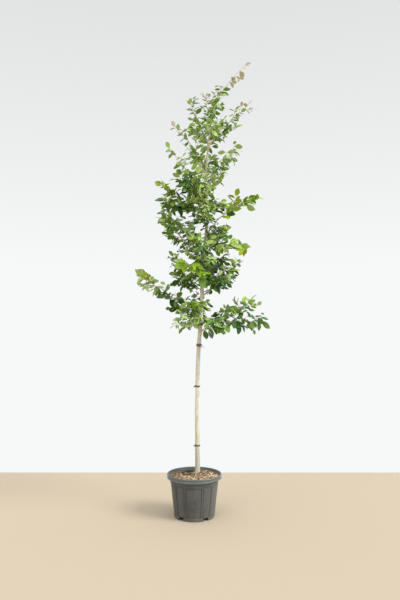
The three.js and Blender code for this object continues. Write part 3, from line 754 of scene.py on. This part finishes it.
# How shoots branch and bear leaves
growth = {
    "leafLength": 0.086, "leafSizes": (0.66, 1.15), "endSize": 0.75,
    "tipRoom": 0.02, "forkShare": 0.1, "bareShoots": 0.3,
    "slimLimb": 0.0045, "stoutLimb": 0.0085, "longLimb": 0.7, "limbTip": 0.0016,
    "limbWave": 0.006, "waveLength": 0.16,
    "twigGap": 0.043, "twigLength": (0.075, 0.165), "twigSpread": (0.75, 1.15), "twigRise": (-0.1, 0.22),
    "twigRadius": (0.002, 0.0009), "twigTries": 6, "sideTwigFrom": 0.105,
    "tipsWander": (-0.12, 0.15), "leafGap": 0.024, "stemLeafGap": 0.03, "leafTries": 9, "leafShrink": 0.96,
    "leafSwing": (0.7, 1.35), "leafSide": (-0.8, 0.8), "leafRise": (-0.55, 0.3),
    "leafApart": 0.005, "twigApart": 0.012, "clearOfLimb": 0.004,
    "pastBox": 0.022, "sharedRoom": 0.028,
    "stemShown": (2.76, 3.12, 0.017), "openFront": (0.03, 0.06, 0.09, 0.12, 0.15, 0.18),
    "firstSeed": 101, "seedStep": 37,
}

# Kinds of bough: the chances of each tint inside and at the tips, the share of a bough where its tips
# begin, leaf sizes at its foot and tip, how far leaves hang, how far blades face outward and roll, how
# close sprays stand, and how close their leaves
kindColumns = ("inner", "outer", "tipsFrom", "leafSize", "hang", "show", "roll", "dense", "fine")
kindRows = {
    "shade": ({"deep": 6, "green": 3, "light": 1}, {"green": 4, "light": 2, "deep": 4},
        0.6, (0.8, 0.98), 0.4, 0.5, 1.4, 1.2, 1.14),
    "mixed": ({"deep": 4, "green": 3, "light": 2}, {"deep": 1, "green": 4, "light": 3, "pale": 1},
        0.5, (0.75, 0.93), 0.12, 0.45, 1.4, 1.35, 1.14),
    "pale": ({"green": 3, "deep": 1, "light": 2}, {"pale": 3, "light": 3},
        0.45, (1, 1), 0, 0.8, 1.1, 0.9, 1),
    "tipPale": ({"deep": 3, "green": 4, "light": 1}, {"light": 4, "pale": 3, "yellow": 1},
        0.56, (0.9, 1.25), -0.1, 0.6, 1.6, 1.2, 1),
    "tipYellow": ({"deep": 2, "green": 3, "light": 1}, {"bright": 3, "yellow": 3, "light": 1},
        0.42, (0.95, 1.2), 0, 0.7, 1.5, 1.25, 1),
    "slender": ({"green": 3, "light": 2}, {"pale": 2, "light": 3},
        0.4, (0.85, 0.95), -0.5, 0.8, 1.1, 0.75, 1),
    "bright": ({"green": 1, "bright": 4}, {"bright": 5, "yellow": 1},
        0.45, (1.05, 1.3), 0.2, 0.9, 1.1, 1, 1),
    "tipBright": ({"deep": 3, "green": 3, "light": 2}, {"yellow": 3, "bright": 1},
        0.74, (1, 1.05), 0, 0.6, 1.1, 1.1, 1),
    "sunny": ({"green": 4, "light": 4}, {"light": 5, "pale": 2, "green": 1},
        0.45, (1.15, 1.12), 0.12, 0.4, 1.1, 1, 1),
    "tipBronze": ({"green": 4, "light": 4}, {"bronze": 4, "light": 3, "pale": 1},
        0.72, (1.15, 0.85), -0.15, 0.5, 0.9, 0.95, 1),
    "leader": ({"green": 3, "light": 4}, {"bronze": 5, "pale": 1},
        0.55, (1.3, 1.15), 0.3, 0.4, 1.8, 1.05, 1),
}
kinds = {name: dict(zip(kindColumns, row)) for name, row in kindRows.items()}

# Boughs whose fork is of another kind
forkKinds = {"low_right": "slender", "top_left": "sunny"}

# Stretches of a bough that bear few leaves
sparse = {
    "long_left": [(0.3, 0.38), (0.6, 0.66)],
    "mid_left": [(0.06, 0.36)],
    "curved_left": [(0.22, 0.67)],
    "upper_right": [(0, 0.4)],
    "top_left_arm": [(0.42, 0.64)],
    "high_left": [(0.46, 0.58), (0.74, 0.8)],
    "high_right": [(0.42, 0.5)],
    "arched_right": [(0.2, 0.36), (0.54, 0.68)],
    "leader": [(0.53, 0.66), (0.79, 0.87)],
    "high_front": [(0, 0.3)],
    "top_front": [(0, 0.5)],
}

# Leaf colours: two shades of the upper side, the rib, the underside
leafTints = {
    "deep": ((0.045, 0.145, 0.018), (0.065, 0.185, 0.04), (0.16, 0.26, 0.07), (0.14, 0.235, 0.07)),
    "green": ((0.145, 0.28, 0.034), (0.215, 0.355, 0.06), (0.31, 0.42, 0.13), (0.24, 0.36, 0.1)),
    "light": ((0.33, 0.475, 0.11), (0.43, 0.555, 0.185), (0.48, 0.57, 0.26), (0.38, 0.5, 0.19)),
    "pale": ((0.39, 0.51, 0.205), (0.48, 0.58, 0.29), (0.56, 0.64, 0.4), (0.48, 0.58, 0.34)),
    "bright": ((0.25, 0.42, 0.018), (0.35, 0.5, 0.034), (0.4, 0.5, 0.12), (0.33, 0.46, 0.1)),
    "yellow": ((0.33, 0.43, 0.016), (0.45, 0.51, 0.04), (0.46, 0.49, 0.13), (0.38, 0.43, 0.1)),
    "bronze": ((0.52, 0.46, 0.34), (0.62, 0.56, 0.43), (0.65, 0.59, 0.49), (0.6, 0.55, 0.45)),
}


def boughLine(start, launch, tip):
    turn, reach, rise = tip
    side, slope = sideAt(turn), radians(launch)
    end = start + side * reach + up * rise
    heading = side * cos(slope) + up * sin(slope)
    return bend(start, start + heading * norm(end - start) * 0.5, end, 48)


def cutLine(line, first, last, count=24):
    # A stretch of a line, between two shares of its length
    return np.array([along(line, lerp(first, last, i / (count - 1)))[0] for i in range(count)])


def waved(line, seed):
    # The line swung gently from side to side, still where it starts
    reached = reachedOn(line)
    swing = np.minimum(1, reached / 0.06)[:, None] * growth["limbWave"]
    phases = np.array([seed, seed * 1.7, seed * 2.9])
    return line + swing * np.sin(reached[:, None] * 2 * pi / growth["waveLength"] + phases)


def layOut(index, row):
    name, height, launch, bare, spread, size, tint, *tips = row
    start = stemAt(height)[0]
    main = boughLine(start, launch, tips[0])
    lastLeaf = growth["leafLength"] * size * growth["endSize"]
    main = waved(cutLine(main, 0, 1 - lastLeaf / lengthOf(main), 40), index)
    lines = [main]
    for tip in tips[1:]:
        route = boughLine(start, launch, tip)
        end = along(route, 1 - lastLeaf / lengthOf(route))[0]
        place, heading = along(main, lerp(bare, 1, growth["forkShare"]))
        lines.append(bend(place, place + heading * norm(end - place) * 0.35, end))
    thick = lerp(growth["slimLimb"], growth["stoutLimb"], min(1, lengthOf(main) / growth["longLimb"]))
    reach = max(hypot(reach, rise) for _, reach, rise in tips) + growth["tipRoom"]
    seed = growth["firstSeed"] + index * growth["seedStep"]
    return dict(name=name, lines=lines, bare=bare, spread=spread, size=size, tint=tint, start=start,
                thick=thick, reach=reach, seed=seed)


def smoothLine(places, perSpan=10):
    places = np.array(places)
    padded = [2 * places[0] - places[1], *places, 2 * places[-1] - places[-2]]
    line = []
    for a, b, c, d in zip(padded, padded[1:], padded[2:], padded[3:]):
        for i in range(perSpan):
            t = i / perSpan
            line.append(0.5 * (2 * b + (c - a) * t + (2 * a - 5 * b + 4 * c - d) * t**2
                               + (3 * b - a - 3 * c + d) * t**3))
    return np.array([*line, places[-1]])


stemTip = stemAt(stem["top"])[0]
masses = [layOut(index, row) for index, row in enumerate(boughTable)]
masses.append({**leader, "start": stemTip, "lines": [smoothLine([stemTip, *leader["route"]])]})

# Points that share out the space between the masses
cells = [np.vstack([cutLine(line, 0 if i else mass["bare"], 1) for i, line in enumerate(mass["lines"])])
         for mass in masses]
cellOwner = np.repeat(range(len(cells)), [len(places) for places in cells])
cellPlaces = np.vstack(cells)

# Balls that leaves keep clear of: on the stem, and in front of the stretch of stem that shows
shownFrom, shownTo, shownRoom = growth["stemShown"]
balls = []
for height in np.arange(1.3, stem["top"], 0.012):
    place, radius = stemAt(height)
    isShown = shownFrom < height < shownTo
    balls.append((place, radius + isShown * shownRoom))
    balls += [(place - (0, depth, 0), shownRoom) for depth in growth["openFront"] if isShown]
ballPlaces, ballSizes = (np.array(column) for column in zip(*balls))

# Leaves reach no further than a little past the box of the solids
boxLow, boxHigh = np.array(caseBox[0]) - growth["pastBox"], np.array(caseBox[1]) + growth["pastBox"]


def gaps(points, others):
    return norm(points[:, None] - others[None], axis=2)


def fits(points, index):
    # True if every point lies in that box, in a mass's own reach and space, and clear of the balls
    mass = masses[index]
    outside = (points < boxLow).any() or (points > boxHigh).any()
    if outside or (norm(points - mass["start"], axis=1) > mass["reach"]).any():
        return False
    apart = gaps(points, cellPlaces)
    own = apart[:, cellOwner == index].min(axis=1)
    others = apart[:, cellOwner != index].min(axis=1)
    if (own > mass["spread"]).any() or (others < own - growth["sharedRoom"]).any():
        return False
    return bool((gaps(points, ballPlaces) > ballSizes + growth["clearOfLimb"]).all())


def turnAbout(vector, axis, angle):
    return (vector * cos(angle) + np.cross(axis, vector) * sin(angle)
            + axis * np.dot(axis, vector) * (1 - cos(angle)))


# One leaf, a metre long: an egg-shaped blade on a short stalk, its halves cambered about the rib and its
# margin waved. The underside closes it.
leafForm = {
    "rows": [0, 0.1, 0.27, 0.46, 0.65, 0.85, 1],
    "halfWidths": [0, 0.035, 0.185, 0.262, 0.265, 0.155, 0],
    "rib": 0.06, "thickness": 0.009,
    "columns": ("wide", "fold", "cup", "curl", "wave", "phase", "twist"),
    "forms": [(1.08, 0.3, 0.25, 0.12, 0.014, 0, 0), (0.95, 0.5, 0.3, 0.25, 0.02, 1.5, 0.3),
              (1.1, 0.2, 0.35, 0.36, 0.018, 3, -0.3), (0.85, 0.75, 0.3, 0.2, 0.015, 4, 0.15),
              (1, 0.4, 0.5, 0.46, 0.022, 5, -0.15)],
}
lastRow = len(leafForm["rows"]) - 1


def leafPlace(row, across, form):
    share = leafForm["rows"][row]
    half = leafForm["halfWidths"][row] * form["wide"]
    wave = form["wave"] * sin(form["phase"] + row * 2.3) * across**2 * (0 < row < lastRow)
    camber = form["fold"] * half * abs(across) - form["cup"] * half * across**2
    droop = -form["curl"] * share**2
    return share, across * half, camber + droop + wave + form["twist"] * across * half * share


def modelLeafSide(columns, form, below):
    spans = len(columns) - 1
    side = added(bpy.ops.mesh.primitive_grid_add, x_subdivisions=lastRow, y_subdivisions=spans, size=1)
    for vertex in side.data.vertices:
        row = round((vertex.co.x + 0.5) * lastRow)
        across = columns[round((vertex.co.y + 0.5) * spans)]
        x, y, z = leafPlace(row, across, form)
        isInside = abs(across) < 0.9 and 0 < row < lastRow
        vertex.co = (x, y, z - below * isInside)
    return side


def modelLeaf(form):
    rib = leafForm["rib"]
    upper = modelLeafSide([-1, -0.5, -rib, rib, 0.5, 1], form, 0)
    lower = modelLeafSide([-1, 0, 1], form, leafForm["thickness"])
    openEdit(lower, "FACE")
    bpy.ops.mesh.select_all(action="SELECT")
    bpy.ops.mesh.flip_normals()
    toMode("OBJECT")
    upperCount = len(upper.data.polygons)
    pick(upper)
    lower.select_set(True)
    bpy.ops.object.join()
    for i, face in enumerate(upper.data.polygons):
        face.material_index = 2 if i >= upperCount else int(abs(face.center.y) < 0.01)
    openEdit(upper, "VERT")
    bpy.ops.mesh.select_all(action="SELECT")
    bpy.ops.mesh.remove_doubles(threshold=1e-4)
    bpy.ops.mesh.dissolve_degenerate(threshold=1e-5)
    toMode("OBJECT")
    return takeShape(upper)


leafShapes = [modelLeaf(dict(zip(leafForm["columns"], row))) for row in leafForm["forms"]]
print("leaf modelled", len(leafShapes[0][1]), "faces")

# Places over a blade that are tested for room: shares of its length and of its half width
bladeTests = [(0.12, 0), (0.35, -0.9), (0.35, 0.9), (0.5, 0), (0.66, -1), (0.66, 1), (0.85, 0), (1, 0)]
bladeTests = np.array([(share, across * 0.27, 0) for share, across in bladeTests])

twigLimbs, leafPlaces = [], {tint: [] for tint in leafTints}


def growMass(index, mass):
    dice = random.Random(mass["seed"])
    shoots, blades = [*mass["lines"]], []

    def draw(span):
        return dice.uniform(*growth[span])

    def isBare(share):
        return any(low < share < high for low, high in sparse.get(mass["name"], []))

    def pickTint(kind, out):
        chances = kind["outer" if out > kind["tipsFrom"] + draw("tipsWander") else "inner"]
        return dice.choices(list(chances), list(chances.values()))[0]

    def addLeaf(root, heading, facing, length, tint):
        ahead = unit(heading)
        across = unit(np.cross(facing, ahead))
        turn = np.column_stack([ahead, across, np.cross(ahead, across)]) * length
        blade = bladeTests @ turn.T + root
        if blades and gaps(blade, np.vstack(blades)).min() < growth["leafApart"]:
            return False
        if not fits(blade[1:], index):
            return False
        blades.append(blade)
        leafPlaces[tint].append((dice.choice(leafShapes), turn, root, 3 * dice.randrange(2)))
        return True

    def addLeaves(kind, line, first, gap, out, tint):
        # Leaves along a twig, or along the bough itself where out and tint are none
        count = max(1, round(lengthOf(line) * (1 - first) / (gap / kind["fine"] * mass["size"])))
        for i in range(count + 1):
            isLast = i == count
            share = 0.998 if isLast else lerp(first, 1, (i + 0.3) / count)
            if out is None and isBare(share):
                continue
            place, tangent = along(line, share)
            rank = unit(np.cross(tangent, up)) * (1 if i % 2 else -1)
            outward = unit((place - stemAt(min(place[2], stem["top"]))[0]) * (1, 1, 0) + 1e-6)
            reach = lerp(out, 1, share) if out is not None else share
            size = mass["size"] * draw("leafSizes") * lerp(*kind["leafSize"], reach)
            size *= 1 if out is None else lerp(1, growth["endSize"], share)
            length = growth["leafLength"] * size
            spray = tint or pickTint(kind, reach)
            for attempt in range(growth["leafTries"]):
                swing = 0.15 * attempt if isLast else draw("leafSwing")
                side = turnAbout(rank, tangent, draw("leafSide"))
                heading = tangent * cos(swing) + side * sin(swing)
                heading = heading + up * ((0 if isLast else draw("leafRise")) - kind["hang"])
                facing = up * dice.uniform(0.4, 1) + outward * dice.uniform(0, kind["show"])
                facing = facing - tangent * 0.2 + side * dice.uniform(-1, 1) * kind["roll"]
                if addLeaf(place, heading, facing, length, spray):
                    break
                length *= growth["leafShrink"]

    def addTwig(parent, share, turn, length, thickness):
        place, tangent = along(parent, share)
        side = turnAbout(unit(np.cross(tangent, up)), tangent, turn)
        heading = unit(side + tangent * 0.85)
        end = place + heading * length + up * length * draw("twigRise")
        line = bend(place, place + unit(side * 0.8 + tangent) * length * 0.45, end, 9)
        if not fits(line[3:], index) or gaps(line[3:], np.vstack(shoots)).min() < growth["twigApart"]:
            return None
        shoots.append(line[2:])
        twigLimbs.append((line, [lerp(*growth["twigRadius"], i / 8) * thickness for i in range(9)]))
        return line

    for lineIndex, line in enumerate(mass["lines"]):
        isFork = lineIndex > 0
        bare = 0.05 if isFork else mass["bare"]
        kind = kinds[forkKinds.get(mass["name"], mass["tint"]) if isFork else mass["tint"]]
        count = max(1, round(lengthOf(line) * (1 - bare) / growth["twigGap"] * kind["dense"]))
        for i in range(count):
            share = lerp(bare * growth["bareShoots"], 0.97, (i + 0.2 + 0.5 * dice.random()) / count)
            if not isFork and isBare(share):
                continue
            length = lerp(*reversed(growth["twigLength"]), share) * mass["size"]
            length *= draw("twigSpread")
            for attempt in range(growth["twigTries"]):
                turn = dice.uniform(-1, 1) + (pi if (i + attempt) % 2 else 0)
                twig = addTwig(line, share, turn, length * (1 - 0.1 * attempt), 1)
                if twig is None:
                    continue
                tint = pickTint(kind, share)
                if lengthOf(twig) > growth["sideTwigFrom"]:
                    sideTwig = addTwig(twig, 0.45, dice.choice((0, pi)), lengthOf(twig) * 0.5, 0.75)
                    if sideTwig is not None:
                        addLeaves(kind, sideTwig, 0.3, growth["leafGap"], share, tint)
                addLeaves(kind, twig, 0.15, growth["leafGap"], share, tint)
                break
        firstLeaf = max(bare * growth["bareShoots"], 0.05)
        addLeaves(kind, line, firstLeaf, growth["stemLeafGap"] / kind["dense"], None, None)


for index, mass in enumerate(masses):
    growMass(index, mass)
print("grown", len(twigLimbs), "twigs", {tint: len(places) for tint, places in leafPlaces.items()})


# The stem with its bark's relief, its root swelling and a collar under each bough
def makeStem():
    rings = [stemAt(height) for height in np.arange(stem["foot"], stem["top"], stem["ringStep"])]
    piece = makeLimbs("stem", [tuple(zip(*rings))], stem["bevelSteps"])
    collars = [(row[1], row[7][0]) for row in boughTable]
    for vertex in piece.data.vertices:
        place = vertex.co
        centre, radius = stemAt(min(max(place.z, stem["foot"]), stem["top"]))
        out = (np.array(place) - centre) * (1, 1, 0)
        turn, reach = atan2(out[1], out[0]), norm(out)
        if reach < 1e-5:
            continue
        near = exp(-max(0, place.z - compostTop) / stem["flareHeight"])
        swell = near * (stem["flareWidth"] + stem["buttressDepth"] * cos(stem["buttresses"] * turn))
        for height, side in collars:
            away = (place.z - height) / stem["collarHeight"]
            if abs(away) < 3:
                facing = max(0, cos(turn - radians(side)))
                swell += stem["collarSwell"] * exp(-away * away) * (0.3 + 0.7 * facing)
        spot = place * Vector(stem["grainScale"])
        swell += stem["grainDepth"] * (noise.noise(spot) + 0.5 * noise.noise(spot * 4.1))
        place.xy = (centre + out / reach * (reach + swell * min(1, radius / 0.008)))[:2]
    finishPiece(piece, "bark", ["trunk"], 60, bark)


def makeBoughs():
    limbs, nodes = [], []
    for mass in masses:
        hasCollar = mass["bare"] > 0
        for lineIndex, line in enumerate(mass["lines"]):
            thick = mass["thick"] * (0.7 if lineIndex else 1)
            radii = []
            for i in range(len(line)):
                collar = 1 + 0.45 * exp(-i / len(line) * lengthOf(line) / 0.018) * hasCollar
                radii.append(lerp(thick, growth["limbTip"], (i / (len(line) - 1)) ** 0.8) * collar)
            limbs.append((line, radii))
        if hasCollar:
            nodes.append("bough_" + mass["name"])
    piece = makeLimbs("boughs", limbs, 3)
    normals = [normal.vector.copy() for normal in piece.data.vertex_normals]
    for vertex, normal in zip(piece.data.vertices, normals):
        vertex.co += normal * 0.0003 * noise.noise(vertex.co * 70)
    finishPiece(piece, "bark", nodes, 60, bark)


massNodes = ["foliage_" + mass["name"] for mass in masses]
makeStem()
makeBoughs()
young = Finish("young_wood", Base_Color=(0.2, 0.17, 0.07), Roughness=0.6)
finishPiece(makeLimbs("twigs", twigLimbs, 0), "bark", massNodes, 60, young)
print("wood made")

for tint, (first, second, rib, under) in leafTints.items():
    # Slots: upper side, rib and underside, then the same for the second shade
    slots = {"blade": first, "rib": rib, "under": under, "blade_2": second, "rib_2": rib, "under_2": under}
    finishes = [Finish(f"leaf_{tint}_{name}", Base_Color=colour, Roughness=0.6 if "under" in name else 0.34)
                for name, colour in slots.items()]
    finishPiece(joinShapes(f"leaves_{tint}", leafPlaces[tint]), "leaf", massNodes, 50, *finishes)
print("leaves made")

# The dark ties round the stem: name, node, height, wraps, turns of their ends, tone
ties = {
    "rows": [("tie_low", "band_low", 0.573, 1, [200], (0.075, 0.08, 0.04)),
             ("tie_middle", "band_middle", 1.065, 1, [195], (0.07, 0.058, 0.045)),
             ("tie_high", "band_high", 1.406, 2, [335, 300], (0.16, 0.14, 0.11))],
    "strand": 0.0028, "pitch": 0.011,
    "end": 0.03, "shortEnd": 0.015,
}


def tieRing(height, wrap):
    # One strand of a wrap, which dips a little as it goes round
    ring = []
    for turn in range(0, 361, 10):
        centre, radius = stemAt(height + 0.0015 * sin(radians(turn) * 2 + wrap))
        ring.append(centre + sideAt(turn) * (radius + ties["strand"] * 0.8))
    return ring, [ties["strand"]] * len(ring)


def tieEnd(height, turn, length):
    # A knot and the end that hangs from it
    strand = ties["strand"]
    centre, radius = stemAt(height)
    out = sideAt(turn)
    across = np.cross(up, out)
    knot = centre + out * (radius + strand * 1.4)
    loop = [knot + across * 0.007 * cos(a) + up * 0.006 * sin(a) + out * 0.002 * sin(2 * a)
            for a in np.linspace(0, 2 * pi, 17)]
    tail = bend(knot, knot + out * length * 0.45, knot + out * length * 0.7 - up * length * 0.7, 8)
    return (loop, [strand * 0.9] * len(loop)), (tail, [strand * lerp(0.95, 0.7, i / 7) for i in range(8)])


def makeTies():
    for name, node, height, wraps, ends, tone in ties["rows"]:
        finish = grainyFinish(name + "_rubber", 0.7, 180, tonesOf(tone, 0.4, 1.6), 0.0006, paleFrom=0.7)
        limbs = []
        for wrap in range(wraps):
            middle = height + (wrap - (wraps - 1) / 2) * ties["pitch"]
            limbs += [tieRing(middle + offset * ties["strand"], wrap) for offset in (-0.935, 0.935)]
        for turn in ends:
            limbs += tieEnd(height, turn, ties["shortEnd" if len(ends) == 1 else "end"])
        finishPiece(makeLimbs(name, limbs, 2), "band", [node], 60, finish)


makeTies()
print("ties made")

# The stage: a plain pale floor, a pale surround, and lamps with their turn, strength and spread
stage = {
    "floorReach": 40, "floorBack": 1.41, "floorTone": (0.505, 0.42, 0.318),
    "surround": (0.93, 0.94, 0.94), "overhead": (0.62, 0.655, 0.64),
    "lamps": {"key": ((52, 0, 64), 2.4, 28), "fill": ((62, 0, -35), 0.6, 50), "overhead": ((8, 0, 0), 1, 60)},
}


def plainSheet(name, front, back, **sockets):
    sheet = added(bpy.ops.mesh.primitive_plane_add, size=1)
    size, place = (2 * stage["floorReach"], back - front, 1), (0, (back + front) / 2, 0)
    assign(sheet, name=name, scale=size, location=place)
    bpy.ops.object.transform_apply()
    finish = Finish(name, Roughness=1, Specular_IOR_Level=0, **sockets)
    sheet.data.materials.append(finish.material)


plainSheet("floor", -stage["floorReach"], stage["floorBack"], Base_Color=stage["floorTone"])
plainSheet("floor_beyond", stage["floorBack"], stage["floorReach"], Base_Color=(0, 0, 0),
           Emission_Color=stage["surround"], Emission_Strength=1)

scene.world = scene.world or bpy.data.worlds.new("surround")
sky = Finish("surround", scene.world)
upward = sky.node("ShaderNodeSeparateXYZ", {"Vector": sky.node("ShaderNodeTexCoord", {})}, 2)
sky.set(Color=sky.ramp(upward, [(0.1, stage["surround"]), (0.75, stage["overhead"])]))
for name, (turn, strength, spread) in stage["lamps"].items():
    lamp = added(bpy.ops.object.light_add, type="SUN", rotation=[radians(angle) for angle in turn])
    lamp.name = name
    assign(lamp.data, energy=strength, angle=radians(spread))
scene.view_settings.view_transform = "Standard"
print("stage lit")
